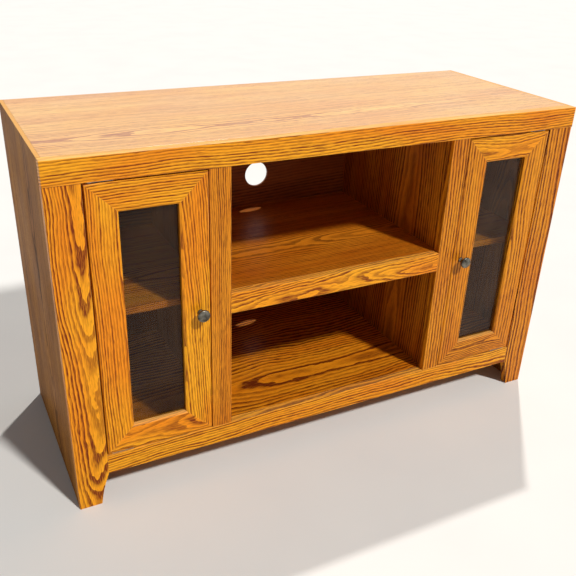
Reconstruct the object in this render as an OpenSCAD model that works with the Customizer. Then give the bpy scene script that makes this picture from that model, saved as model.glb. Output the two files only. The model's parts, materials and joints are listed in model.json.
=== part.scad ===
// Media cabinet with an open centre and a glazed door on each side.
// Millimetres. X runs to the right, Y to the back and Z up.
// The origin is on the floor, under the middle of the cabinet with its knobs.

/* [Overall] */
// Width over the side panels
cabinet_w = 1220; // [1000:10:1500]
// Height from the floor to the top
cabinet_h = 765; // [620:5:950]
// Depth from the front board's face to the back edges of the sides
cabinet_d = 470; // [380:5:600]

/* [Boards] */
// Thickness of the sides, dividers, top, bottom and centre shelf
panel_t = 19; // [16:1:25]
// Thickness of the front frame's boards
frame_t = 19; // [16:1:25]
// Thickness of the back panel
back_t = 6; // [4:1:9]
// How far the back panel lies inside the back edges
back_inset = 5; // [0:1:12]
// Depth of the grooves that the panels sit in
groove_d = 6; // [4:1:9]
// Width of the step in the side panels that the back panel lies in
back_rabbet_w = 9; // [8:1:11]
// Width of the side panel's edge that shows beside the top
top_lip = 8; // [5:1:12]
// How far the dividers stand back from their stiles' inner edges
divider_reveal = 6; // [3:1:9]

/* [Front frame] */
// Height of the front board under the top
fascia_h = 47; // [35:1:70]
// How far the front board stands proud of the frame
fascia_proud = 2; // [1:1:6]
// Width of the outer stiles
stile_w = 67; // [50:1:90]
// Width of the stiles beside the centre bay
divider_stile_w = 44; // [36:1:60]
// Width of each door's opening
door_opening_w = 236; // [190:1:320]
// Height of the bottom rail
rail_h = 46.5; // [35:0.5:70]
// Height of the bottom rail's lower edge above the floor
rail_z = 76; // [50:1:110]
// How much narrower the foot is at the floor than its stile
foot_taper = 20; // [8:1:30]
// How deep the foot's curve is hollowed
foot_hollow = 2.7; // [1:0.1:5]

/* [Centre bay] */
// Height of the thick edge on the centre shelf
shelf_edge_h = 47; // [30:1:60]
// How much taller the lower bay is than the upper one
bay_difference = 9; // [0:1:60]
// Diameter of the cable holes
cable_hole_d = 64; // [40:1:76]
// Height of the upper cable hole's centre above the centre shelf
upper_hole_rise = 83; // [60:1:110]
// Height of the lower cable hole's centre above the bottom panel
lower_hole_rise = 134; // [60:1:150]

/* [Side shelves] */
// Thickness of the two side shelves
side_shelf_t = 16; // [12:1:19]
// Depth of the edging strip on a side shelf
shelf_edging_t = 6; // [3:1:12]
// Distance from the front frame's back to a side shelf
shelf_setback = 29; // [24:1:80]
// Free space at each end of a side shelf
shelf_play = 1; // [0.5:0.5:2]
// Diameter of the shelf pins
pin_d = 5; // [4:0.5:6]
// Depth of the shelf pins' holes
pin_hole_depth = 10; // [8:1:12]
// Distance between two pin holes in a row
pin_pitch = 32; // [25:1:40]
// Number of pin holes in a row
pin_rows = 5; // [3:2:7]
// Distance from the ends of a side shelf to its pins
pin_inset = 45; // [30:1:80]

/* [Doors] */
// Thickness of the door frames
door_t = 20; // [18:1:24]
// Width of the door frames' members
member_w = 58; // [45:1:70]
// Gap between a door and its stile on the hinge side
hinge_gap = 3; // [3:0.5:4]
// Gap between a door and its stile on the knob side
latch_gap = 2; // [1.5:0.5:4]
// Gap above and below a door
end_gap = 3; // [3:0.5:5]
// Radius of the doors' outer edges
door_edge_r = 3; // [3:0.5:4]
// Size of the bevel round the glass
bevel = 4; // [2:0.5:6]
// Depth of the bevel's step from the face of the door
bevel_depth = 2.5; // [1:0.5:4]
// Distance from the door's face to the glass
glass_depth = 10; // [8:1:12]
// Thickness of the glass
glass_t = 3; // [3:0.5:5]
// How far the glass reaches behind the frame
glass_lap = 8; // [6:1:10]
// Free space round the glass
glass_play = 0.5; // [0.5:0.5:1]

/* [Hardware] */
// Distance from the door's hinge edge to the pivot
pivot_inset = 12; // [12:0.5:14]
// Distance from the door's face to the pivot
pivot_depth = 10; // [9:0.5:10.5]
// Diameter of the pivot pins
pivot_d = 5; // [4:0.5:6]
// Radial clearance of the pivot pins in the door
pivot_clearance = 0.05;
// How far a pivot pin reaches into the door
pivot_reach = 14; // [10:1:20]
// Thickness of the pivot plates
plate_t = 1.5; // [1:0.1:1.5]
// Width of the pivot plates
plate_w = 14; // [12:0.5:16]
// Length of the pivot plates past the pivot
plate_l = 42; // [36:1:60]
// Diameter of the pivot washers
washer_d = 12; // [9:0.5:13]
// Diameter of the hinge and catch screws
screw_d = 3.5; // [3:0.5:4]
// Length of the hinge and catch screws
screw_l = 14; // [10:1:16]
// Diameter of the knob's head
knob_d = 27; // [22:1:34]
// Distance from the door's face to the knob's face
knob_l = 25; // [20:1:32]
// Diameter of the knob's foot and neck
knob_neck_d = 12; // [9:1:16]
// Diameter of the knob's screw
knob_screw_d = 4; // [3:0.5:5]
// Distance from the door's edge to the knob's middle
knob_inset = 22; // [16:1:40]
// How far the knob lies below the middle of the door
knob_drop = 0; // [-60:1:60]
// Height of the magnetic catch above the knob
catch_rise = 80; // [50:1:120]
// Height of the magnetic catch's case
catch_h = 45; // [36:1:60]
// Width of the magnetic catch's case
catch_w = 13; // [11:1:15]
// Depth of the magnetic catch's case
catch_l = 15; // [12:1:18]

/* [Hidden] */
$fn = 48;

// A cut runs this far past the faces that it opens
over = 1;
small_gap = 0.05;
strike_gap = 0.3;

// Stations from front to back
front_y = (knob_l - fascia_proud - cabinet_d) / 2;
frame_y = front_y + fascia_proud;
case_y = frame_y + frame_t;
rear_y = front_y + cabinet_d;
back_y = rear_y - back_inset - back_t;
inner_d = back_y - case_y;

// Stations from left to right, for the left half
half_w = cabinet_w / 2;
side_x = -half_w + panel_t;
opening_x = -half_w + stile_w;
divider_stile_x = opening_x + door_opening_w;
bay_x = divider_stile_x + divider_stile_w;
divider_x = bay_x - divider_reveal - panel_t;
bay_w = -2 * bay_x;

// Stations from the floor up
floor_z = rail_z + rail_h;
ceiling_z = cabinet_h - panel_t;
fascia_z = cabinet_h - fascia_h;
opening_h = fascia_z - floor_z;
lower_bay_h = (opening_h - shelf_edge_h + bay_difference) / 2;
centre_shelf_z = floor_z + lower_bay_h + shelf_edge_h;
upper_hole_z = centre_shelf_z + upper_hole_rise;
lower_hole_z = floor_z + lower_hole_rise;
tongue_t = panel_t / 2;

// Side shelves and their pins
pin_r = pin_d / 2;
pin_tab_t = 2;
pin_tab_w = 9;
pin_z = (floor_z + ceiling_z) / 2 - side_shelf_t - pin_r;
side_shelf_z = pin_z + pin_r;
side_shelf_y = case_y + shelf_setback;
side_shelf_x = side_x + shelf_play;
side_shelf_w = divider_x - side_x - 2 * shelf_play;
side_shelf_d = back_y - side_shelf_y - shelf_play;
pin_ys = [side_shelf_y + pin_inset, back_y - shelf_play - pin_inset];

// Doors, for the left door
door_x = opening_x + hinge_gap;
door_w = door_opening_w - hinge_gap - latch_gap;
door_z = floor_z + end_gap;
door_h = opening_h - 2 * end_gap;
pane_x = door_x + member_w;
pane_z = door_z + member_w;
pane_w = door_w - 2 * member_w;
pane_h = door_h - 2 * member_w;
stop_t = door_t - glass_depth - glass_t;
stop_w = glass_lap - 1;
pivot_x = door_x + pivot_inset;
pivot_y = frame_y + pivot_depth;
knob_x = door_x + door_w - knob_inset;
knob_z = door_z + door_h / 2 - knob_drop;

// Catch
strike_t = 1;
strike_w = 12;
strike_h = catch_h - 8;
catch_z = knob_z + catch_rise;
catch_y = frame_y + door_t + strike_t + strike_gap;
strike_x = divider_stile_x - latch_gap - door_edge_r - small_gap - strike_w / 2;
catch_x = strike_x - catch_w / 2;
catch_block_d = catch_y + catch_l - case_y;
magnet_w = 4;
magnet_h = catch_h - 16;
pole_t = 1.5;
flange_t = 3;

// Screw heads and drilled holes
head_ratio = 2;
screw_r = screw_d / 2;
head_h = screw_r;
head_r = screw_r * head_ratio;
sink_h = min(head_h, plate_t);
sink_r = screw_r + sink_h;
back_screw_l = 16;
back_screw_head_h = 2;
plate_screw_xs = [plate_l * 0.4, plate_l * 0.82];

// Cleats and blocks
cleat_w = 20;
cleat_h = fascia_h - panel_t - 1;
block_s = 24;
block_l = 50;

oak = "#C9822F";
oak_dark = "#A9641F";
glass_tint = "#3C3028";
steel = "#8A8C8E";
pewter = "#3A3A38";
plastic = "#4A2D1C";
nylon = "#E4E0D4";

// ---- helpers ----

// The same shape on the right-hand side
module on_right() {
    mirror([1, 0, 0]) children();
}

// A board given by its lowest corner and its size
module board(corner, size) {
    translate(corner) cube(size);
}

// A cylinder along Y, from y0 to y0 + length
module rod_y(x, y0, z, r, length) {
    translate([x, y0, z]) rotate([-90, 0, 0]) cylinder(r = r, h = length);
}

// A cylinder along X, from x0 to x0 + length
module rod_x(x0, y, z, r, length) {
    translate([x0, y, z]) rotate([0, 90, 0]) cylinder(r = r, h = length);
}

// ---- case ----

// Where the back panel's screws stand: [x, z] for the left half, mirrored for the right one
function back_screw_spots() = [
    for (k = [0 : 3]) [side_x - back_rabbet_w / 2, floor_z + 30 + k * (ceiling_z - floor_z - 60) / 3],
    for (k = [0 : 1]) [divider_x + panel_t / 2, floor_z + (k + 1) * (ceiling_z - floor_z) / 3],
    [(side_x + divider_x) / 2, floor_z - panel_t / 2],
    [bay_x / 2, floor_z - panel_t / 2],
    [(side_x + divider_x) / 2, ceiling_z - cleat_h / 2],
    [bay_x / 2, ceiling_z - cleat_h / 2]
];

module back_screw_shanks() {
    for (side = [0, 1]) mirror([side, 0, 0])
        for (p = back_screw_spots())
            rod_y(p[0], rear_y - back_inset - back_screw_l, p[1], screw_r, back_screw_l);
}

module back_panel_screws() {
    color(steel) {
        back_screw_shanks();
        for (side = [0, 1]) mirror([side, 0, 0])
            for (p = back_screw_spots())
                rod_y(p[0], rear_y - back_inset, p[1], head_r, back_screw_head_h);
    }
}

// One row of shelf pin holes from the plane x0 towards +X
module pin_holes(x0) {
    for (y = pin_ys)
        for (k = [0 : pin_rows - 1])
            rod_x(x0, y, pin_z + (k - (pin_rows - 1) / 2) * pin_pitch, pin_r, pin_hole_depth);
}

module side_panel() {
    color(oak_dark) difference() {
        board([-half_w, case_y, 0], [panel_t, rear_y - case_y, cabinet_h]);
        // step that the top rests in
        board([-half_w + top_lip, case_y - over, ceiling_z], [panel_t, cabinet_d, panel_t + over]);
        // groove for the bottom panel
        board([side_x - groove_d, case_y - over, floor_z - panel_t],
              [groove_d + over, inner_d + over, panel_t]);
        // step that the back panel lies in
        board([side_x - back_rabbet_w, back_y, floor_z - panel_t],
              [back_rabbet_w + over, back_t + back_inset + over, ceiling_z - floor_z + panel_t]);
        pin_holes(side_x - pin_hole_depth);
        back_screw_shanks();
    }
}

module divider() {
    color(oak_dark) difference() {
        board([divider_x, case_y, floor_z - groove_d],
              [panel_t, inner_d, ceiling_z - floor_z + 2 * groove_d]);
        // groove for the centre shelf's tongue
        board([divider_x + panel_t - groove_d, case_y - over, centre_shelf_z - panel_t],
              [groove_d + over, inner_d + 2 * over, tongue_t]);
        pin_holes(divider_x);
        back_screw_shanks();
    }
}

module bottom_panel() {
    color(oak) difference() {
        board([side_x - groove_d, case_y, floor_z - panel_t],
              [2 * (groove_d - side_x), inner_d, panel_t]);
        for (side = [0, 1]) mirror([side, 0, 0])
            board([divider_x, case_y - over, floor_z - groove_d],
                  [panel_t, inner_d + 2 * over, groove_d + over]);
        back_screw_shanks();
    }
}

module top_panel() {
    color(oak) difference() {
        board([-half_w + top_lip, case_y, ceiling_z],
              [cabinet_w - 2 * top_lip, rear_y - case_y, panel_t]);
        for (side = [0, 1]) mirror([side, 0, 0])
            board([divider_x, case_y - over, ceiling_z - over],
                  [panel_t, inner_d + over, groove_d + over]);
    }
}

module back_panel() {
    color(oak_dark) difference() {
        board([side_x - back_rabbet_w, back_y, floor_z - panel_t],
              [2 * (back_rabbet_w - side_x), back_t, ceiling_z - floor_z + panel_t]);
        for (z = [upper_hole_z, lower_hole_z])
            rod_y(0, back_y - over, z, cable_hole_d / 2, back_t + 2 * over);
        back_screw_shanks();
    }
}

module top_front_cleats() {
    color(oak_dark) {
        board([divider_x + panel_t, case_y, ceiling_z - cleat_h],
              [-2 * (divider_x + panel_t), cleat_w, cleat_h]);
        for (side = [0, 1]) mirror([side, 0, 0])
            board([side_x, case_y, ceiling_z - cleat_h], [divider_x - side_x, cleat_w, cleat_h]);
    }
}

module top_rear_cleats() {
    color(oak_dark) difference() {
        translate([0, inner_d - cleat_w, 0]) top_front_cleats();
        back_screw_shanks();
    }
}

// Three-cornered block in the corner between a vertical board and the bottom panel
module glue_block() {
    rotate([90, 0, 90]) linear_extrude(block_l)
        polygon([[0, 0], [block_s, 0], [0, -block_s]]);
}

module glue_blocks() {
    color(oak_dark) for (side = [0, 1]) mirror([side, 0, 0]) {
        // behind the bottom rail
        for (x = [divider_x, (side_x + divider_x) / 2])
            translate([x, case_y, floor_z - panel_t]) glue_block();
        // against the side panel
        for (share = [0.25, 0.75])
            translate([side_x, case_y + share * inner_d, floor_z - panel_t])
                rotate([0, 0, -90]) glue_block();
    }
}

// ---- front frame ----

module fascia() {
    color(oak) difference() {
        board([-half_w, front_y, fascia_z], [cabinet_w, frame_t + fascia_proud, fascia_h]);
        for (side = [0, 1]) mirror([side, 0, 0]) top_plate_screws();
    }
}

module front_stile() {
    chord = norm([foot_taper, rail_z]);
    curve_r = chord * chord / (8 * foot_hollow) + foot_hollow / 2;
    to_centre = curve_r - foot_hollow;
    color(oak) difference() {
        board([-half_w, frame_y, 0], [stile_w, frame_t, fascia_z]);
        // hollow curve on the inner side of the foot
        intersection() {
            rod_y(opening_x - foot_taper / 2 + to_centre * rail_z / chord, frame_y - over,
                  rail_z / 2 - to_centre * foot_taper / chord, curve_r, frame_t + 2 * over,
                  $fn = 200);
            board([-half_w, frame_y - over, -over], [half_w, frame_t + 2 * over, rail_z + over]);
        }
    }
}

module divider_stile() {
    color(oak) board([divider_stile_x, frame_y, floor_z], [divider_stile_w, frame_t, opening_h]);
}

module bottom_rail() {
    color(oak) difference() {
        board([opening_x, frame_y, rail_z], [-2 * opening_x, frame_t, rail_h]);
        for (side = [0, 1]) mirror([side, 0, 0]) bottom_plate_screws();
    }
}

// ---- shelves ----

module centre_shelf() {
    board_x = divider_x + panel_t;
    tongue_x = board_x - groove_d;
    color(oak) {
        board([board_x, case_y, centre_shelf_z - panel_t], [-2 * board_x, inner_d, panel_t]);
        board([tongue_x, case_y, centre_shelf_z - panel_t], [-2 * tongue_x, inner_d, tongue_t]);
    }
}

module centre_shelf_edge() {
    color(oak) board([bay_x, frame_y, centre_shelf_z - shelf_edge_h],
                     [bay_w, frame_t, shelf_edge_h]);
}

module side_shelf() {
    color(oak) board([side_shelf_x, side_shelf_y + shelf_edging_t, side_shelf_z],
                     [side_shelf_w, side_shelf_d - shelf_edging_t, side_shelf_t]);
}

module side_shelf_edging() {
    color(oak) board([side_shelf_x, side_shelf_y, side_shelf_z],
                     [side_shelf_w, shelf_edging_t, side_shelf_t]);
}

// Round pin in the wall at x, with a flat tab under the shelf on the side given by way
module shelf_pin(x, y, way) {
    from = way > 0 ? x - pin_hole_depth : x - pin_tab_w;
    rod_x(from, y, pin_z, pin_r, pin_hole_depth + pin_tab_w);
    board([way > 0 ? x : x - pin_tab_w, y - pin_tab_w / 2, pin_z + pin_r - pin_tab_t],
          [pin_tab_w, pin_tab_w, pin_tab_t]);
}

module shelf_pins() {
    color(steel) for (y = pin_ys) {
        shelf_pin(side_x, y, 1);
        shelf_pin(divider_x, y, -1);
    }
}

// ---- magnetic catches ----

module catch_block() {
    block_h = catch_h + 8;
    color(oak_dark) difference() {
        union() {
            board([divider_stile_x, case_y, catch_z - block_h / 2],
                  [divider_x - divider_stile_x, catch_block_d, block_h]);
            board([catch_x + catch_w, catch_y, catch_z - block_h / 2],
                  [divider_x - catch_x - catch_w, catch_l, block_h]);
        }
        catch_screw_shanks();
    }
}

module catch_cavity() {
    translate([catch_x + catch_w / 2, catch_y, catch_z])
        translate([-(magnet_w / 2 + pole_t), 0, -magnet_h / 2])
            cube([magnet_w + 2 * pole_t, catch_l - 4, magnet_h]);
}

module catch() {
    color(plastic) difference() {
        board([catch_x, catch_y, catch_z - catch_h / 2], [catch_w, catch_l, catch_h]);
        // magnet pocket, open to the front
        translate([0, -over, 0]) catch_cavity();
        catch_cavity();
        // the ends are thinned to flanges for the screws
        for (end = [-1, 1])
            board([catch_x - over, catch_y - over, catch_z + end * (catch_h / 2 - 3) - 3.5],
                  [catch_w - flange_t + over, catch_l + 2 * over, 7]);
        catch_screw_shanks();
    }
}

module catch_magnet() {
    color(steel) catch_cavity();
}

module catch_screw_shanks() {
    for (end = [-1, 1])
        rod_x(catch_x + catch_w - flange_t, catch_y + catch_l / 2,
              catch_z + end * (catch_h / 2 - 3), screw_r, screw_l);
}

module catch_screws() {
    color(steel) for (side = [0, 1]) mirror([side, 0, 0]) {
        catch_screw_shanks();
        for (end = [-1, 1])
            rod_x(catch_x + catch_w - flange_t - head_h, catch_y + catch_l / 2,
                  catch_z + end * (catch_h / 2 - 3), min(head_r, 3), head_h);
    }
}

// ---- pivot hinges ----

// A countersunk screw whose flat head faces -Z
module sunk_screw() {
    cylinder(r1 = sink_r, r2 = screw_r, h = sink_h);
    translate([0, 0, sink_h]) cylinder(r = screw_r, h = screw_l - sink_h);
}

// The strip that a pivot works in, with its pivot end rounded
module pivot_strip() {
    linear_extrude(plate_t) {
        circle(d = plate_w);
        translate([0, -plate_w / 2]) square([plate_l, plate_w]);
    }
}

module strip_screws() {
    for (x = plate_screw_xs) translate([x, 0, 0]) sunk_screw();
}

module top_plate_screws() {
    translate([pivot_x, pivot_y, fascia_z - plate_t]) strip_screws();
}

module bottom_plate_screws() {
    translate([pivot_x, pivot_y, floor_z + plate_t]) mirror([0, 0, 1]) strip_screws();
}

module plate_screws() {
    color(steel) {
        top_plate_screws();
        bottom_plate_screws();
    }
}

module pivot_plates() {
    color(steel) difference() {
        union() {
            translate([pivot_x, pivot_y, fascia_z - plate_t]) pivot_strip();
            translate([pivot_x, pivot_y, floor_z]) pivot_strip();
            translate([pivot_x, pivot_y, fascia_z - end_gap - pivot_reach])
                cylinder(d = pivot_d, h = end_gap + pivot_reach);
            translate([pivot_x, pivot_y, floor_z])
                cylinder(d = pivot_d, h = end_gap + pivot_reach);
        }
        top_plate_screws();
        bottom_plate_screws();
    }
}

// Each washer fills the space between a plate and its leaf
module pivot_washers() {
    washer_t = end_gap - plate_t - small_gap;
    color(nylon) for (z = [floor_z + plate_t, fascia_z - end_gap + small_gap / 2])
        translate([pivot_x, pivot_y, z]) difference() {
            cylinder(d = washer_d, h = washer_t);
            translate([0, 0, -over])
                cylinder(r = pivot_d / 2 + pivot_clearance, h = washer_t + 2 * over);
        }
}

module top_leaf_screws() {
    translate([pivot_x, pivot_y, door_z + door_h]) mirror([0, 0, 1]) strip_screws();
}

module bottom_leaf_screws() {
    translate([pivot_x, pivot_y, door_z]) strip_screws();
}

module door_leaf_screws() {
    color(steel) {
        top_leaf_screws();
        bottom_leaf_screws();
    }
}

module leaf_strips() {
    translate([pivot_x, pivot_y, door_z + door_h - plate_t]) pivot_strip();
    translate([pivot_x, pivot_y, door_z]) pivot_strip();
}

module pivot_bores() {
    bore_l = pivot_reach + over;
    for (z = [door_z - over, door_z + door_h - bore_l])
        translate([pivot_x, pivot_y, z])
            cylinder(r = pivot_d / 2 + pivot_clearance, h = bore_l + over);
}

module door_leaves() {
    color(steel) difference() {
        leaf_strips();
        pivot_bores();
        top_leaf_screws();
        bottom_leaf_screws();
    }
}

// ---- doors ----

// Section of a door member: x from the outer edge inwards, y from the face backwards
module member_section() {
    difference() {
        union() {
            translate([door_edge_r, door_edge_r]) circle(door_edge_r);
            translate([door_edge_r, door_t - door_edge_r]) circle(door_edge_r);
            translate([0, door_edge_r]) square([door_edge_r * 2, door_t - 2 * door_edge_r]);
            polygon([
                [door_edge_r, 0], [member_w - bevel, 0], [member_w, bevel_depth],
                [member_w, glass_depth], [member_w - glass_lap, glass_depth],
                [member_w - glass_lap, door_t], [door_edge_r, door_t]
            ]);
        }
    }
}

// A member along Z with both ends cut to 45 degrees, its outer edge at x = 0
module mitred_member(length) {
    intersection() {
        linear_extrude(length) member_section();
        translate([0, -over, 0]) rotate([-90, 0, 0]) linear_extrude(door_t + 2 * over)
            polygon([[0, 0], [member_w, -member_w], [member_w, member_w - length], [0, -length]]);
    }
}

// What is cut out of the door's wood for the pivots, the knob and the strike
module door_cuts() {
    leaf_strips();
    pivot_bores();
    top_leaf_screws();
    bottom_leaf_screws();
    rod_y(knob_x, frame_y - over, knob_z, knob_screw_d / 2, door_t + 2 * over);
    strike_screw();
}

module door_hinge_stile() {
    color(oak) difference() {
        translate([door_x, frame_y, door_z]) mitred_member(door_h);
        door_cuts();
    }
}

module door_latch_stile() {
    color(oak) difference() {
        translate([door_x + door_w, frame_y, door_z]) mirror([1, 0, 0]) mitred_member(door_h);
        door_cuts();
    }
}

module door_bottom_rail() {
    color(oak) difference() {
        translate([door_x, frame_y, door_z])
            mirror([1, 0, 0]) rotate([0, -90, 0]) mitred_member(door_w);
        door_cuts();
    }
}

module door_top_rail() {
    color(oak) difference() {
        translate([door_x, frame_y, door_z + door_h])
            rotate([0, 90, 0]) mitred_member(door_w);
        door_cuts();
    }
}

module door_glass() {
    edge = glass_lap - glass_play;
    color(glass_tint) board([pane_x - edge, frame_y + glass_depth, pane_z - edge],
                            [pane_w + 2 * edge, glass_t, pane_h + 2 * edge]);
}

// One wooden stop along Z, with both ends cut to 45 degrees, its outer edge at x = 0
module stop_strip(length) {
    low = small_gap;
    high = length - small_gap;
    intersection() {
        linear_extrude(length)
            polygon([[0, 0], [stop_w, 0], [stop_w, stop_t / 2], [stop_w / 2, stop_t], [0, stop_t]]);
        translate([0, -over, 0]) rotate([-90, 0, 0]) linear_extrude(stop_t + 2 * over)
            polygon([[0, -low], [stop_w, -low - stop_w], [stop_w, stop_w - high], [0, -high]]);
    }
}

module door_glass_stops() {
    x0 = pane_x - glass_lap;
    z0 = pane_z - glass_lap;
    w = pane_w + 2 * glass_lap;
    h = pane_h + 2 * glass_lap;
    color(oak) translate([0, frame_y + glass_depth + glass_t, 0]) {
        translate([x0, 0, z0]) stop_strip(h);
        translate([x0 + w, 0, z0]) mirror([1, 0, 0]) stop_strip(h);
        translate([x0, 0, z0]) mirror([1, 0, 0]) rotate([0, -90, 0]) stop_strip(w);
        translate([x0, 0, z0 + h]) rotate([0, 90, 0]) stop_strip(w);
    }
}

module door_knob() {
    neck_r = knob_neck_d / 2;
    head_t = knob_l * 0.36;
    rim_r = head_t * 0.3;
    color(pewter) translate([knob_x, frame_y, knob_z]) rotate([90, 0, 0]) difference() {
        rotate_extrude($fn = 64) {
            // foot, neck and head of the knob
            square([neck_r, 2.5]);
            square([neck_r * 0.72, knob_l - head_t]);
            polygon([
                [0, knob_l - head_t * 1.5], [neck_r * 0.72, knob_l - head_t * 1.5],
                [knob_d / 2 - rim_r, knob_l - head_t], [knob_d / 2 - rim_r, knob_l - head_t * 0.35],
                [0, knob_l - head_t * 0.35]
            ]);
            translate([knob_d / 2 - rim_r, knob_l - head_t + rim_r]) circle(rim_r);
            intersection() {
                square([knob_d / 2 - rim_r * 0.4, knob_l]);
                dome_r = knob_d * 0.72;
                translate([0, knob_l - dome_r]) circle(dome_r, $fn = 120);
                translate([0, knob_l - head_t * 0.75]) square([knob_d, knob_l]);
            }
        }
        translate([0, 0, -over]) cylinder(r = knob_screw_d / 2, h = knob_l * 0.48 + over);
    }
}

module door_knob_screw() {
    color(steel) {
        rod_y(knob_x, frame_y - knob_l * 0.44, knob_z, knob_screw_d / 2, knob_l * 0.44 + door_t);
        rod_y(knob_x, frame_y + door_t, knob_z, knob_screw_d, 2.2);
    }
}

module strike_screw() {
    rod_y(strike_x, frame_y + door_t - 8, catch_z, screw_r * 0.8, 8 + strike_t);
}

module door_strike() {
    color(steel) {
        difference() {
            board([strike_x - strike_w / 2, frame_y + door_t, catch_z - strike_h / 2],
                  [strike_w, strike_t, strike_h]);
            strike_screw();
        }
        strike_screw();
    }
}

side_panel();  // left_side_panel
on_right() side_panel();  // right_side_panel
divider();  // left_divider
on_right() divider();  // right_divider
bottom_panel();
top_panel();
back_panel();
fascia();
front_stile();  // left_front_stile
on_right() front_stile();  // right_front_stile
divider_stile();  // left_divider_stile
on_right() divider_stile();  // right_divider_stile
bottom_rail();
centre_shelf();
centre_shelf_edge();
side_shelf();  // left_shelf
on_right() side_shelf();  // right_shelf
side_shelf_edging();  // left_shelf_edging
on_right() side_shelf_edging();  // right_shelf_edging
shelf_pins();  // left_shelf_pins
on_right() shelf_pins();  // right_shelf_pins
top_front_cleats();
top_rear_cleats();
glue_blocks();
back_panel_screws();
catch_block();  // left_catch_block
on_right() catch_block();  // right_catch_block
catch();  // left_catch
on_right() catch();  // right_catch
catch_magnet();  // left_catch_magnet
on_right() catch_magnet();  // right_catch_magnet
catch_screws();
pivot_plates();  // left_pivot_plates
on_right() pivot_plates();  // right_pivot_plates
pivot_washers();  // left_pivot_washers
on_right() pivot_washers();  // right_pivot_washers
plate_screws();  // left_plate_screws
on_right() plate_screws();  // right_plate_screws
door_hinge_stile();  // left_door_hinge_stile
door_latch_stile();  // left_door_latch_stile
door_top_rail();  // left_door_top_rail
door_bottom_rail();  // left_door_bottom_rail
door_glass();  // left_door_glass
door_glass_stops();  // left_door_glass_stops
door_knob();  // left_door_knob
door_knob_screw();  // left_door_knob_screw
door_strike();  // left_door_strike
door_leaves();  // left_door_leaves
door_leaf_screws();  // left_door_leaf_screws
on_right() door_hinge_stile();  // right_door_hinge_stile
on_right() door_latch_stile();  // right_door_latch_stile
on_right() door_top_rail();  // right_door_top_rail
on_right() door_bottom_rail();  // right_door_bottom_rail
on_right() door_glass();  // right_door_glass
on_right() door_glass_stops();  // right_door_glass_stops
on_right() door_knob();  // right_door_knob
on_right() door_knob_screw();  // right_door_knob_screw
on_right() door_strike();  // right_door_strike
on_right() door_leaves();  // right_door_leaves
on_right() door_leaf_screws();  // right_door_leaf_screws
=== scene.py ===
"""Media cabinet in golden oak: finishes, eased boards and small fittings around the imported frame."""
import json
import math

import bmesh
import bpy
from mathutils import Matrix, Vector


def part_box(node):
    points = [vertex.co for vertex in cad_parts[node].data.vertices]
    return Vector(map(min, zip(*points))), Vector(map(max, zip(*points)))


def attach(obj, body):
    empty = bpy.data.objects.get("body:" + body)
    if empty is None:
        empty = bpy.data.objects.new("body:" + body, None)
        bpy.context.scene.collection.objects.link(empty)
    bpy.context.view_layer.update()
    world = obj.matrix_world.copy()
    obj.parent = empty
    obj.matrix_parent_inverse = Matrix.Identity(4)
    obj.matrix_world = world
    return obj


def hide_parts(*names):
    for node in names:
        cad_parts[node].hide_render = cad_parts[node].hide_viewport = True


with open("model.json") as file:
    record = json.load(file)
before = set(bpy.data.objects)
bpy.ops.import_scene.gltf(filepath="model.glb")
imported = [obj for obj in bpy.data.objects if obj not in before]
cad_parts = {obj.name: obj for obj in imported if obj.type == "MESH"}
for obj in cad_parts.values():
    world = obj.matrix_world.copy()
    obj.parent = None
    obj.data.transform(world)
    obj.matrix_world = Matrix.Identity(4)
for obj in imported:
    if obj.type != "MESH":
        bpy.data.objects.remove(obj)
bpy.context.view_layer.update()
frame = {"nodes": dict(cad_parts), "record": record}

SIDES = ("left", "right")

# ---- camera ----

CAMERA_AT = (-0.7797, -1.4501, 1.1400)
CAMERA_LOOKS_AT = (-0.1341, -0.2235, 0.4364)
CAMERA_ROLL = math.radians(2.24)
CAMERA_LENS = 45.76


def add_camera():
    data = bpy.data.cameras.new("camera")
    data.sensor_width = 36.0
    data.lens = CAMERA_LENS
    camera = bpy.data.objects.new("camera", data)
    bpy.context.scene.collection.objects.link(camera)
    line = Vector(CAMERA_LOOKS_AT) - Vector(CAMERA_AT)
    turn = line.to_track_quat("-Z", "Y").to_matrix() @ Matrix.Rotation(CAMERA_ROLL, 3, "Z")
    camera.matrix_world = Matrix.Translation(CAMERA_AT) @ turn.to_4x4()
    bpy.context.scene.camera = camera


add_camera()

# ---- shader helpers ----


def srgb(r, g, b):
    """A colour given as 0 to 255 sRGB values, as the linear colour that shaders take."""
    def linear(v):
        v = v / 255
        return v / 12.92 if v <= 0.04045 else ((v + 0.055) / 1.055) ** 2.4
    return (linear(r), linear(g), linear(b), 1.0)


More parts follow.
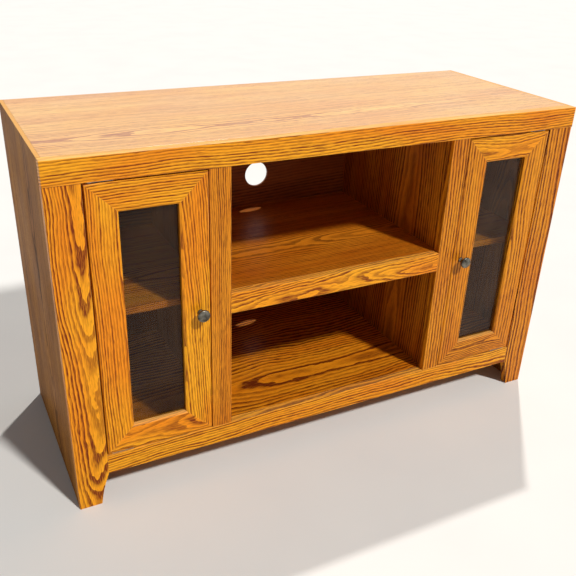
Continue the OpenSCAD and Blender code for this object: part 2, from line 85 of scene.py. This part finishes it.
class Nodes:
    """Short calls that add nodes to one tree and wire them up."""

    def __init__(self, tree):
        self.tree = tree
        tree.nodes.clear()

    def add(self, kind, wires=(), **settings):
        node = self.tree.nodes.new(kind)
        for name, value in settings.items():
            setattr(node, name, value)
        for socket, value in dict(wires).items():
            self.put(node.inputs[socket], value)
        return node

    def put(self, socket, value):
        if isinstance(value, bpy.types.NodeSocket):
            self.tree.links.new(value, socket)
        else:
            socket.default_value = value

    def math(self, operation, a, b=0.0, c=0.0, clamp=False):
        node = self.add("ShaderNodeMath", operation=operation, use_clamp=clamp)
        for socket, value in zip(node.inputs, (a, b, c)):
            self.put(socket, value)
        return node.outputs[0]

    def vector(self, operation, a, b=(0, 0, 0)):
        node = self.add("ShaderNodeVectorMath", {0: a, 1: b}, operation=operation)
        return node.outputs["Value" if operation in ("LENGTH", "DOT_PRODUCT") else "Vector"]

    def noise(self, vector, scale, detail=2.0, roughness=0.5):
        """Noise with its own scale along each axis. The lattice is one unit of the scaled vector."""
        scaled = self.vector("MULTIPLY", vector, scale)
        wires = {"Vector": scaled, "Scale": 1.0, "Detail": detail, "Roughness": roughness}
        return self.add("ShaderNodeTexNoise", wires)

    def ramp(self, value, stops):
        node = self.add("ShaderNodeValToRGB", {"Fac": value})
        marks = node.color_ramp.elements
        while len(marks) < len(stops):
            marks.new(0.5)
        for mark, (place, level) in zip(marks, stops):
            mark.position = place
            mark.color = (level, level, level, 1)
        return node.outputs["Color"]

    def mix(self, share, a, b, blend="MIX"):
        node = self.add("ShaderNodeMix", data_type="RGBA", blend_type=blend)
        self.put(node.inputs["Factor"], share)
        self.put(node.inputs[6], a)
        self.put(node.inputs[7], b)
        return node.outputs[2]

    def between(self, value, low, high, to_low=0.0, to_high=1.0):
        wires = {"Value": value, "From Min": low, "From Max": high, "To Min": to_low, "To Max": to_high}
        return self.add("ShaderNodeMapRange", wires, clamp=True).outputs["Result"]


def new_group(name, takes, gives):
    """An empty shader group with named inputs (and their defaults) and outputs."""
    tree = bpy.data.node_groups.new(name, "ShaderNodeTree")
    for label, kind, value in takes:
        socket = tree.interface.new_socket(label, in_out="INPUT", socket_type="NodeSocket" + kind)
        socket.default_value = value
    for label, kind in gives:
        tree.interface.new_socket(label, in_out="OUTPUT", socket_type="NodeSocket" + kind)
    n = Nodes(tree)
    return n, n.add("NodeGroupInput").outputs, n.add("NodeGroupOutput").inputs


# ---- shared effects ----


def make_oak_figure():
    """Red oak from a log that runs along local Z: rings round the log's heart, open pores and fibres."""
    n, given, out = new_group(
        "oak_figure",
        [("Vector", "Vector", (0, 0, 0)), ("Seed", "Float", 0.0), ("Ring Width", "Float", 0.0042),
         ("Lean X", "Float", 0.0), ("Lean Y", "Float", 0.0), ("Waviness", "Float", 1.0),
         ("Contrast", "Float", 1.0), ("Pale", "Color", (0, 0, 0, 1)), ("Deep", "Color", (0, 0, 0, 1)),
         ("Pore", "Color", (0, 0, 0, 1))],
        [("Color", "Color"), ("Grain", "Float"), ("Height", "Float")])
    split = n.add("ShaderNodeSeparateXYZ", {0: given["Vector"]}).outputs
    leaned = n.add("ShaderNodeCombineXYZ", {
        "X": n.math("MULTIPLY", split["Z"], given["Lean X"]),
        "Y": n.math("MULTIPLY", split["Z"], given["Lean Y"])}).outputs[0]
    at = n.vector("ADD", given["Vector"], n.add("ShaderNodeCombineXYZ", {"Z": given["Seed"]}).outputs[0])
    half = (0.5, 0.5, 0.5)
    wander = n.vector("SUBTRACT", n.noise(at, (4.0, 4.0, 2.4), 1.0).outputs["Color"], half)
    ripple = n.vector("SUBTRACT", n.noise(at, (26.0, 26.0, 9.0), 2.0).outputs["Color"], half)
    shake = n.vector("SUBTRACT", n.noise(at, (120.0, 120.0, 45.0), 1.0).outputs["Color"], half)
    wave = n.vector("ADD", n.vector("MULTIPLY", wander, (0.030, 0.030, 0)),
                    n.vector("MULTIPLY", ripple, (0.0075, 0.0075, 0)))
    wave = n.vector("ADD", wave, n.vector("MULTIPLY", shake, (0.0016, 0.0016, 0)))
    amount = n.add("ShaderNodeCombineXYZ", {"X": given["Waviness"], "Y": given["Waviness"]}).outputs[0]
    place = n.vector("ADD", n.vector("ADD", given["Vector"], leaned), n.vector("MULTIPLY", wave, amount))
    flat = n.vector("MULTIPLY", place, (1, 1, 0))
    ring = n.math("DIVIDE", n.vector("LENGTH", flat), given["Ring Width"])
    phase = n.math("FRACT", ring)
    count = n.math("ADD", n.math("FLOOR", ring), n.math("MULTIPLY", given["Seed"], 31.0))
    year = n.add("ShaderNodeTexWhiteNoise", {"W": count}, noise_dimensions="1D").outputs["Value"]
    early = n.ramp(phase, [(0.0, 0.40), (0.05, 1.0), (0.34, 0.94), (0.52, 0.42), (0.72, 0.10), (0.95, 0.0)])
    early = n.math("MULTIPLY", early, n.between(year, 0.0, 1.0, 0.55, 1.25))
    pores = n.noise(at, (620.0, 620.0, 42.0), 2.0, 0.6).outputs["Fac"]
    fibre = n.noise(at, (1300.0, 1300.0, 60.0), 1.0).outputs["Fac"]
    streaks = n.between(pores, 0.36, 0.58, 0.42, 1.0)
    dark = n.math("MULTIPLY", early, streaks)
    specks = n.math("MULTIPLY", n.between(pores, 0.55, 0.68), 0.5)
    dark = n.math("MAXIMUM", dark, specks)
    dark = n.math("MULTIPLY", dark, given["Contrast"], clamp=True)
    tone = n.noise(at, (14.0, 14.0, 3.4), 2.0).outputs["Fac"]
    body = n.mix(n.between(tone, 0.36, 0.66), given["Pale"], given["Deep"])
    body = n.mix(n.between(fibre, 0.35, 0.7, 0.0, 0.25), body, given["Pore"])
    n.put(out["Color"], n.mix(dark, body, given["Pore"]))
    n.put(out["Grain"], dark)
    n.put(out["Height"], n.math("SUBTRACT", n.math("MULTIPLY", fibre, 0.25), dark))
    return n.tree


def make_wear_and_edge_highlight():
    """A mask that is 1 on outer edges, broken up by noise: partly edges rubbed by hands and cloths, partly a
    painted highlight along them.
    """
    n, given, out = new_group(
        "wear_and_edge_highlight",
        [("Vector", "Vector", (0, 0, 0)), ("Reach", "Float", 0.0016), ("Amount", "Float", 1.0)],
        [("Mask", "Float")])
    rounded = n.add("ShaderNodeBevel", {"Radius": given["Reach"]}, samples=4).outputs["Normal"]
    true_normal = n.add("ShaderNodeNewGeometry").outputs["Normal"]
    bend = n.math("SUBTRACT", 1.0, n.vector("DOT_PRODUCT", rounded, true_normal))
    edge = n.between(bend, 0.015, 0.16)
    broken = n.between(n.noise(given["Vector"], (60.0, 60.0, 60.0), 3.0).outputs["Fac"], 0.3, 0.62, 0.35, 1.0)
    n.put(out["Mask"], n.math("MULTIPLY", n.math("MULTIPLY", edge, broken), given["Amount"], clamp=True))
    return n.tree


def make_handling():
    """Slow patches of rubbed and dusty surface, as a value from 0 to 1."""
    n, given, out = new_group(
        "handling", [("Vector", "Vector", (0, 0, 0)), ("Scale", "Float", 8.0)], [("Mask", "Float")])
    scaled = n.vector("MULTIPLY", given["Vector"], n.add("ShaderNodeCombineXYZ", {
        "X": given["Scale"], "Y": given["Scale"], "Z": given["Scale"]}).outputs[0])
    patches = n.add("ShaderNodeTexNoise", {"Vector": scaled, "Scale": 1.0, "Detail": 4.0}).outputs["Fac"]
    n.put(out["Mask"], n.between(patches, 0.35, 0.68))
    return n.tree


OAK_FIGURE = make_oak_figure()
WEAR_AND_EDGE_HIGHLIGHT = make_wear_and_edge_highlight()
HANDLING = make_handling()

# ---- finishes ----

# Each tone is the pale wood, the deeper wood, the pores, and a paler wood that is painted on rubbed edges,
# partly as a painted highlight along them, and on faces that look up as a painted highlight.
GOLDEN = (srgb(255, 176, 30), srgb(248, 148, 20), srgb(118, 44, 3), srgb(255, 206, 124))
TAWNY = (srgb(240, 154, 28), srgb(222, 128, 18), srgb(98, 36, 4), srgb(252, 198, 114))
# The centre shelf's and dividers' oak: darker than the front, partly as painted shade on these inner parts.
AMBER_WITH_PAINTED_SHADE = (srgb(218, 132, 28), srgb(192, 102, 14), srgb(72, 26, 3), srgb(250, 190, 100))
# A paler oak: on the top panel it is paler partly as a painted sheen of the glare on the lit top; the sawn
# cleats take it as their own colour.
HONEY_WITH_PAINTED_GLARE = (srgb(252, 196, 92), srgb(240, 172, 68), srgb(156, 84, 20), srgb(255, 214, 142))
# The side panels' oak: darker and more olive than the front, partly as painted shade of sides that stand out of
# the light.
UMBER_WITH_PAINTED_SHADE = (srgb(188, 124, 42), srgb(150, 92, 24), srgb(62, 32, 8), srgb(236, 180, 108))
# The back panel's oak: darker and redder than the front, partly as painted shade of the inside of the cabinet.
RUSSET_WITH_PAINTED_SHADE = (srgb(172, 92, 34), srgb(142, 68, 20), srgb(70, 24, 6), srgb(206, 132, 70))


def new_material(name):
    material = bpy.data.materials.new(name)
    material.use_nodes = True
    n = Nodes(material.node_tree)
    out = n.add("ShaderNodeOutputMaterial")
    shader = n.add("ShaderNodeBsdfPrincipled")
    n.put(out.inputs["Surface"], shader.outputs["BSDF"])
    return material, n, shader, n.add("ShaderNodeTexCoord").outputs["Object"]


def group(n, tree, **wires):
    node = n.add("ShaderNodeGroup", node_tree=tree)
    for name, value in wires.items():
        n.put(node.inputs[name.replace("_", " ")], value)
    return node.outputs


def oak(name, along, heart, lean=(0.0, 0.0), ring=0.0042, wavy=1.0, contrast=1.0, tone=GOLDEN, gloss=0.36,
        sheen=0.14, wear_and_highlight=0.5, painted_glare=0.0):
    """Lacquered oak with its grain along X or Z. heart carries the log's middle to the pattern's own
    axis, and its third number picks one log from another. lean is how far the log tilts from the board.
    The last argument is how far the faces that look up are painted towards the paler tone, a painted
    highlight of the light from above."""
    material, n, shader, at = new_material(name)
    turn = (0, math.pi / 2, 0) if along == "X" else (0, 0, 0)
    shift = (heart[0], heart[1], 0)
    placed = n.add("ShaderNodeMapping", {"Vector": at, "Location": shift, "Rotation": turn}).outputs[0]
    figure = group(n, OAK_FIGURE, Vector=placed, Seed=heart[2], Ring_Width=ring, Lean_X=lean[0], Lean_Y=lean[1],
                   Waviness=wavy, Contrast=contrast, Pale=tone[0], Deep=tone[1], Pore=tone[2])
    # Edges are painted in the paler tone, partly as rubbed wood and partly as a painted highlight along them.
    edge_wear_and_highlight = group(n, WEAR_AND_EDGE_HIGHLIGHT, Vector=at, Amount=wear_and_highlight)["Mask"]
    rubbed = group(n, HANDLING, Vector=at, Scale=7.0)["Mask"]
    colour = n.mix(edge_wear_and_highlight, figure["Color"], tone[3])
    # Faces that look up are painted towards the paler tone: a painted highlight of the light from above, not a
    # change in the wood.
    if painted_glare:
        facing = n.add("ShaderNodeNewGeometry").outputs["True Normal"]
        upward = n.add("ShaderNodeSeparateXYZ", {0: facing}).outputs["Z"]
        colour = n.mix(n.between(upward, 0.25, 0.9, 0.0, painted_glare), colour, tone[3])
    n.put(shader.inputs["Base Color"], colour)
    rough = n.math("ADD", n.math("MULTIPLY", figure["Grain"], 0.14), n.math("MULTIPLY", rubbed, 0.10))
    n.put(shader.inputs["Roughness"], n.math("ADD", rough, gloss))
    bump = n.add("ShaderNodeBump", {"Height": figure["Height"], "Strength": 0.35, "Distance": 0.0004})
    n.put(shader.inputs["Normal"], bump.outputs["Normal"])
    shader.inputs["Specular IOR Level"].default_value = sheen
    shader.inputs["Coat Weight"].default_value = sheen * 0.4
    shader.inputs["Coat Roughness"].default_value = 0.22
    return material


def metal(name, colour, worn_colour, roughness, scratch=220.0, metallic=1.0):
    material, n, shader, at = new_material(name)
    # Edges are painted in the lighter colour, partly as rubbed metal and partly as a painted highlight along
    # them.
    edge_wear_and_highlight = group(n, WEAR_AND_EDGE_HIGHLIGHT, Vector=at, Reach=0.0008, Amount=0.8)["Mask"]
    rubbed = group(n, HANDLING, Vector=at, Scale=90.0)["Mask"]
    lines = n.noise(at, (scratch, scratch, scratch * 6), 3.0, 0.6).outputs["Fac"]
    base = n.mix(n.math("MULTIPLY", rubbed, 0.35), colour, worn_colour)
    n.put(shader.inputs["Base Color"], n.mix(edge_wear_and_highlight, base, worn_colour))
    n.put(shader.inputs["Roughness"], n.math("ADD", roughness, n.math("MULTIPLY", lines, 0.18)))
    bump = n.add("ShaderNodeBump", {"Height": lines, "Strength": 0.12, "Distance": 0.0002})
    n.put(shader.inputs["Normal"], bump.outputs["Normal"])
    shader.inputs["Metallic"].default_value = metallic
    return material


def moulded(name, colour, worn_colour, grain=900.0):
    """Moulded plastic with a fine spark-eroded grain."""
    material, n, shader, at = new_material(name)
    # Edges are painted in the lighter colour, partly as rubbed plastic and partly as a painted highlight along
    # them.
    edge_wear_and_highlight = group(n, WEAR_AND_EDGE_HIGHLIGHT, Vector=at, Reach=0.0006, Amount=0.5)["Mask"]
    rubbed = group(n, HANDLING, Vector=at, Scale=60.0)["Mask"]
    pits = n.noise(at, (grain, grain, grain), 2.0).outputs["Fac"]
    base = n.mix(n.math("MULTIPLY", rubbed, 0.3), colour, worn_colour)
    n.put(shader.inputs["Base Color"], n.mix(edge_wear_and_highlight, base, worn_colour))
    n.put(shader.inputs["Roughness"], n.math("ADD", 0.42, n.math("MULTIPLY", pits, 0.2)))
    bump = n.add("ShaderNodeBump", {"Height": pits, "Strength": 0.2, "Distance": 0.0002})
    n.put(shader.inputs["Normal"], bump.outputs["Normal"])
    return material


def smoked_glass(name):
    """Thin dark glass: clear enough to see the shelf behind it, greyer where it is seen at a slant."""
    material, n, shader, at = new_material(name)
    smears = group(n, HANDLING, Vector=at, Scale=14.0)["Mask"]
    tint = n.mix(smears, srgb(56, 34, 20), srgb(84, 58, 38))
    n.put(shader.inputs["Base Color"], tint)
    n.put(shader.inputs["Roughness"], n.between(smears, 0.0, 1.0, 0.04, 0.13))
    slant = n.add("ShaderNodeLayerWeight", {"Blend": 0.35}).outputs["Facing"]
    n.put(shader.inputs["Alpha"], n.between(slant, 0.0, 1.0, 0.16, 0.66))
    shader.inputs["Specular IOR Level"].default_value = 0.45
    return material


PEWTER = metal("pewter", srgb(62, 59, 53), srgb(196, 190, 176), 0.2)
ZINC = metal("zinc", srgb(168, 170, 174), srgb(214, 214, 212), 0.32, metallic=1.0)
BROWN_PLASTIC = moulded("brown_plastic", srgb(74, 46, 27), srgb(104, 70, 44))
NYLON = moulded("nylon", srgb(222, 216, 200), srgb(236, 232, 222), 600.0)
GLASS = smoked_glass("smoked_glass")
SAWN = oak("sawn_wood", "X", (0.1, 0.06, 0), (0.01, 0.01), 0.005, 0.7, 0.5, HONEY_WITH_PAINTED_GLARE, 0.55, 0.1)


def wood_for_boards():
    """One oak per board, so that no two boards share a figure."""
    door = {"wear_and_highlight": 0.2}
    # Where a setting below paints the faces that look up paler, that paleness is a painted highlight of the
    # light from above.
    door_ledge = {"wear_and_highlight": 0.2, "painted_glare": 0.5}
    frame_member = {"wear_and_highlight": 0.5, "painted_glare": 0.5}
    shelf_member = {"wear_and_highlight": 0.5, "painted_glare": 0.15}
    side_board = {"tone": UMBER_WITH_PAINTED_SHADE, "gloss": 0.5, "sheen": 0.05, "wear_and_highlight": 0.25, "painted_glare": 0.8}
    woods = {
        "top_panel": oak("oak_top", "X", (-0.735, 0.09, 0.2), (0.012, 0.04), 0.0052, 1.5, 1.0, HONEY_WITH_PAINTED_GLARE, 0.3, 0.8),
        "fascia": oak("oak_fascia", "X", (-0.63, 0.25, 0.3), (0.010, 0.004), 0.0058, 0.9, 1.1, **frame_member),
        "bottom_rail": oak("oak_bottom_rail", "X", (-0.05, 0.25, 0.9), (0.025, -0.02), 0.0060, 1.3, 1.1,
                           **shelf_member),
        # The bottom panel takes the darker tawny tone, partly as painted shade inside the lower bay.
        "bottom_panel": oak("oak_bottom", "X", (-0.09, 0.10, 0.5), (0.05, 0.03), 0.0110, 2.4, 1.25, TAWNY),
        "centre_shelf": oak("oak_shelf", "X", (-0.40, 0.05, 1.4), (0.03, 0.03), 0.0055, 1.1, 0.8, AMBER_WITH_PAINTED_SHADE),
        "centre_shelf_edge": oak("oak_shelf_edge", "X", (-0.415, 0.235, 0.1), (0.05, 0.03), 0.0052, 2.0, 1.1,
                                 **shelf_member),
        "back_panel": oak("oak_back", "X", (-0.35, -0.20, 2.1), (0.03, 0.02), 0.0080, 1.0, 0.7, RUSSET_WITH_PAINTED_SHADE),
        "left_side_panel": oak("oak_left_side", "Z", (0.55, 0.02, 1.7), (0.02, 0.05), 0.0060, 1.3, 0.9,
                               **side_board),
        "right_side_panel": oak("oak_right_side", "Z", (-0.55, 0.05, 2.9), (0.03, 0.04), 0.0060, 1.3, 0.9,
                                **side_board),
        "left_divider": oak("oak_left_divider", "Z", (0.23, 0.03, 3.3), (0.03, 0.04), 0.0072, 1.0, 1.1, AMBER_WITH_PAINTED_SHADE),
        "right_divider": oak("oak_right_divider", "Z", (-0.23, 0.05, 4.1), (0.03, 0.04), 0.0072, 1.0, 1.1,
                             AMBER_WITH_PAINTED_SHADE),
        "left_front_stile": oak("oak_left_stile", "Z", (0.560, 0.2765, 0.4), (0.0, -0.05), 0.0048, 1.4, 1.2,
                                **frame_member),
        "right_front_stile": oak("oak_right_stile", "Z", (-0.645, 0.2765, 0.6), (0.012, -0.02), 0.0085, 0.9, 1.3,
                                 TAWNY, **frame_member),
        "left_divider_stile": oak("oak_left_divider_stile", "Z", (0.20, 0.25, 1.2), (0.006, 0), 0.0040, 0.7,
                                  1.15, TAWNY, **frame_member),
        "right_divider_stile": oak("oak_right_divider_stile", "Z", (-0.19, 0.25, 1.6), (0.01, 0), 0.0075, 0.9,
                                   1.15, TAWNY, **frame_member),
        "left_door_hinge_stile": oak("oak_left_hinge_stile", "Z", (0.43, 0.2735, 3.0), (0.015, 0), 0.0046, 0.7,
                                     1.0, **door),
        "left_door_latch_stile": oak("oak_left_latch_stile", "Z", (0.375, 0.2435, 4.4), (0.03, 0.03), 0.0046,
                                     1.0, 1.0, **door),
        "left_door_top_rail": oak("oak_left_top_rail", "X", (-0.60, 0.2635, 5.1), (0.004, 0), 0.0046, 0.7,
                                  1.0, **door),
        "left_door_bottom_rail": oak("oak_left_bottom_rail", "X", (-0.155, 0.2535, 5.7), (0, 0.02), 0.0046,
                                     1.8, 1.0, **door_ledge),
        "right_door_hinge_stile": oak("oak_right_hinge_stile", "Z", (-0.45, 0.2735, 6.3), (0.01, 0), 0.0070,
                                      0.8, 1.0, TAWNY, **door),
        "right_door_latch_stile": oak("oak_right_latch_stile", "Z", (-0.24, 0.2735, 7.1), (0.012, 0), 0.0070,
                                      0.9, 1.0, TAWNY, **door),
        "right_door_top_rail": oak("oak_right_top_rail", "X", (-0.686, 0.2475, 7.3), (0, 0.01), 0.0052, 1.6,
                                   1.0, GOLDEN, **door),
        "right_door_bottom_rail": oak("oak_right_bottom_rail", "X", (-0.15, 0.2435, 8.3), (0.02, 0.03), 0.0048,
                                      1.5, 1.0, TAWNY, **door_ledge),
    }
    for k, side in enumerate(SIDES):
        woods[f"{side}_shelf"] = oak(f"oak_{side}_shelf", "X", (-0.40, 0.05, 9.1 + k), (0.04, 0.03), 0.0055)
        woods[f"{side}_shelf_edging"] = oak(f"oak_{side}_edging", "X", (-0.38, 0.2, 9.4 + k), (0.02, 0), 0.0038)
        woods[f"{side}_door_glass_stops"] = oak(f"oak_{side}_stops", "Z", (0.36, 0.2, 9.7 + k), (0.01, 0))
    return woods


# ---- boards with eased edges ----

BODIES = {node: body for body, nodes in frame["record"]["behaviour"]["bodies"].items() for node in nodes}
SHARP = math.radians(20)


def link_piece(name, mesh, node):
    """A finished mesh as the piece that stands for a CAD node."""
    piece = bpy.data.objects.new(name, mesh)
    bpy.context.scene.collection.objects.link(piece)
    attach(piece, BODIES[node])
    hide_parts(node)
    return piece


def eased(node, width, least=0.012):
    """The node's board with every long sharp edge rounded over by width."""
    mesh = frame["nodes"][node].data.copy()
    mesh.name = node + "_eased"
    shape = bmesh.new()
    shape.from_mesh(mesh)
    bmesh.ops.remove_doubles(shape, verts=shape.verts, dist=0.00001)
    bmesh.ops.dissolve_limit(shape, angle_limit=math.radians(1), verts=shape.verts, edges=shape.edges)
    edges = [e for e in shape.edges
             if e.is_manifold and e.calc_face_angle() > SHARP and e.calc_length() > least]
    bmesh.ops.bevel(shape, geom=edges, offset=width, offset_type="OFFSET", segments=2, profile=0.5,
                    affect="EDGES", material=-1, clamp_overlap=True)
    shape.to_mesh(mesh)
    shape.free()
    return link_piece(node + "_board", mesh, node)


def finish_node(node, material):
    mesh = frame["nodes"][node].data
    mesh.materials.clear()
    mesh.materials.append(material)


EASING = {"fascia": 0.0014, "bottom_rail": 0.0009, "centre_shelf_edge": 0.0013, "top_panel": 0.0004}
for side in SIDES:
    EASING.update({f"{side}_front_stile": 0.0011, f"{side}_divider_stile": 0.0009,
                   f"{side}_shelf_edging": 0.0008, f"{side}_side_panel": 0.0007})
    for member in ("hinge_stile", "latch_stile", "top_rail", "bottom_rail"):
        EASING[f"{side}_door_{member}"] = 0.0005

for node, wood in wood_for_boards().items():
    if node in EASING:
        board = eased(node, EASING[node])
        board.data.materials.clear()
        board.data.materials.append(wood)
    else:
        finish_node(node, wood)

for node in ("top_front_cleats", "top_rear_cleats", "glue_blocks", "left_catch_block", "right_catch_block"):
    finish_node(node, SAWN)
for node in ("back_panel_screws", "catch_screws"):
    finish_node(node, ZINC)
for side in SIDES:
    for part in ("shelf_pins", "catch_magnet", "pivot_plates", "plate_screws", "door_knob_screw",
                 "door_strike", "door_leaves", "door_leaf_screws"):
        finish_node(f"{side}_{part}", ZINC)
    finish_node(f"{side}_catch", BROWN_PLASTIC)
    finish_node(f"{side}_pivot_washers", NYLON)
    finish_node(f"{side}_door_glass", GLASS)

# ---- knobs ----


def knob(side):
    """A turned mushroom knob: foot, waist, rolled rim and a shallow dished face with a raised middle."""
    node = f"{side}_door_knob"
    low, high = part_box(node)
    middle = (low + high) / 2
    radius = (high.x - low.x) / 2
    length = high.y - low.y
    outline = [(0.0, 0.0), (0.44, 0.0), (0.46, 0.03), (0.44, 0.10), (0.36, 0.14), (0.29, 0.24), (0.28, 0.40),
               (0.33, 0.52), (0.50, 0.60), (0.78, 0.65), (0.94, 0.70), (1.0, 0.77), (0.99, 0.84),
               (0.93, 0.90), (0.84, 0.925), (0.78, 0.915), (0.70, 0.93), (0.45, 0.98), (0.20, 0.998), (0.0, 1.0)]
    shape = bmesh.new()
    verts = [shape.verts.new((middle.x + r * radius, high.y - y * length, middle.z)) for r, y in outline]
    edges = [shape.edges.new(pair) for pair in zip(verts, verts[1:])]
    bmesh.ops.spin(shape, geom=verts + edges, cent=(middle.x, high.y, middle.z), axis=(0, 1, 0),
                   angle=math.tau, steps=56, use_merge=True)
    bmesh.ops.remove_doubles(shape, verts=shape.verts, dist=0.00001)
    bmesh.ops.recalc_face_normals(shape, faces=shape.faces)
    mesh = bpy.data.meshes.new(node + "_turned")
    shape.to_mesh(mesh)
    shape.free()
    mesh.shade_smooth()
    mesh.materials.append(PEWTER)
    return link_piece(f"{side}_knob", mesh, node)


for side in SIDES:
    knob(side)

# ---- floor and light ----

FLOOR_SIZE = 30.0
FLOOR_COLOUR = (0.80, 0.80, 0.79, 1)
ROOM_COLOUR = (0.93, 0.93, 0.93, 1)
KEY_TRAVEL = (-0.091, 0.237, -0.275)
BACK_TRAVEL = (-0.032, -0.038, -0.083)


def add_floor():
    shape = bmesh.new()
    bmesh.ops.create_grid(shape, x_segments=1, y_segments=1, size=FLOOR_SIZE / 2)
    mesh = bpy.data.meshes.new("floor")
    shape.to_mesh(mesh)
    shape.free()
    floor = bpy.data.objects.new("floor", mesh)
    bpy.context.scene.collection.objects.link(floor)
    material, n, shader, at = new_material("floor_paint")
    mottle = n.noise(at, (3.0, 3.0, 3.0), 3.0).outputs["Fac"]
    n.put(shader.inputs["Base Color"], n.mix(n.between(mottle, 0.3, 0.7), FLOOR_COLOUR, (0.77, 0.77, 0.765, 1)))
    shader.inputs["Roughness"].default_value = 0.8
    shader.inputs["Specular IOR Level"].default_value = 0.1
    mesh.materials.append(material)


def add_sun(name, travel, strength, angle, colour):
    data = bpy.data.lights.new(name, "SUN")
    data.energy = strength
    data.angle = math.radians(angle)
    data.color = colour
    lamp = bpy.data.objects.new(name, data)
    lamp.rotation_mode = "QUATERNION"
    lamp.rotation_quaternion = Vector(travel).to_track_quat("-Z", "Y")
    bpy.context.scene.collection.objects.link(lamp)


def light_room():
    world = bpy.data.worlds.new("room")
    bpy.context.scene.world = world
    world.use_nodes = True
    n = Nodes(world.node_tree)
    rays = n.add("ShaderNodeLightPath").outputs
    seen = n.math("MAXIMUM", rays["Is Camera Ray"],
                  n.math("MAXIMUM", rays["Is Glossy Ray"], rays["Is Transmission Ray"]))
    fill = n.add("ShaderNodeBackground", {"Color": (0.95, 0.97, 1.0, 1), "Strength": 0.17}).outputs[0]
    shown = n.add("ShaderNodeBackground", {"Color": ROOM_COLOUR, "Strength": 1.0}).outputs[0]
    mixed = n.add("ShaderNodeMixShader", {0: seen, 1: fill, 2: shown}).outputs[0]
    n.put(n.add("ShaderNodeOutputWorld").inputs["Surface"], mixed)


add_floor()
light_room()
add_sun("key_light", KEY_TRAVEL, 2.75, 4.5, (1.0, 0.97, 0.92))
add_sun("back_light", BACK_TRAVEL, 1.8, 1.6, (1.0, 0.95, 0.88))
bpy.context.scene.view_settings.view_transform = "Standard"
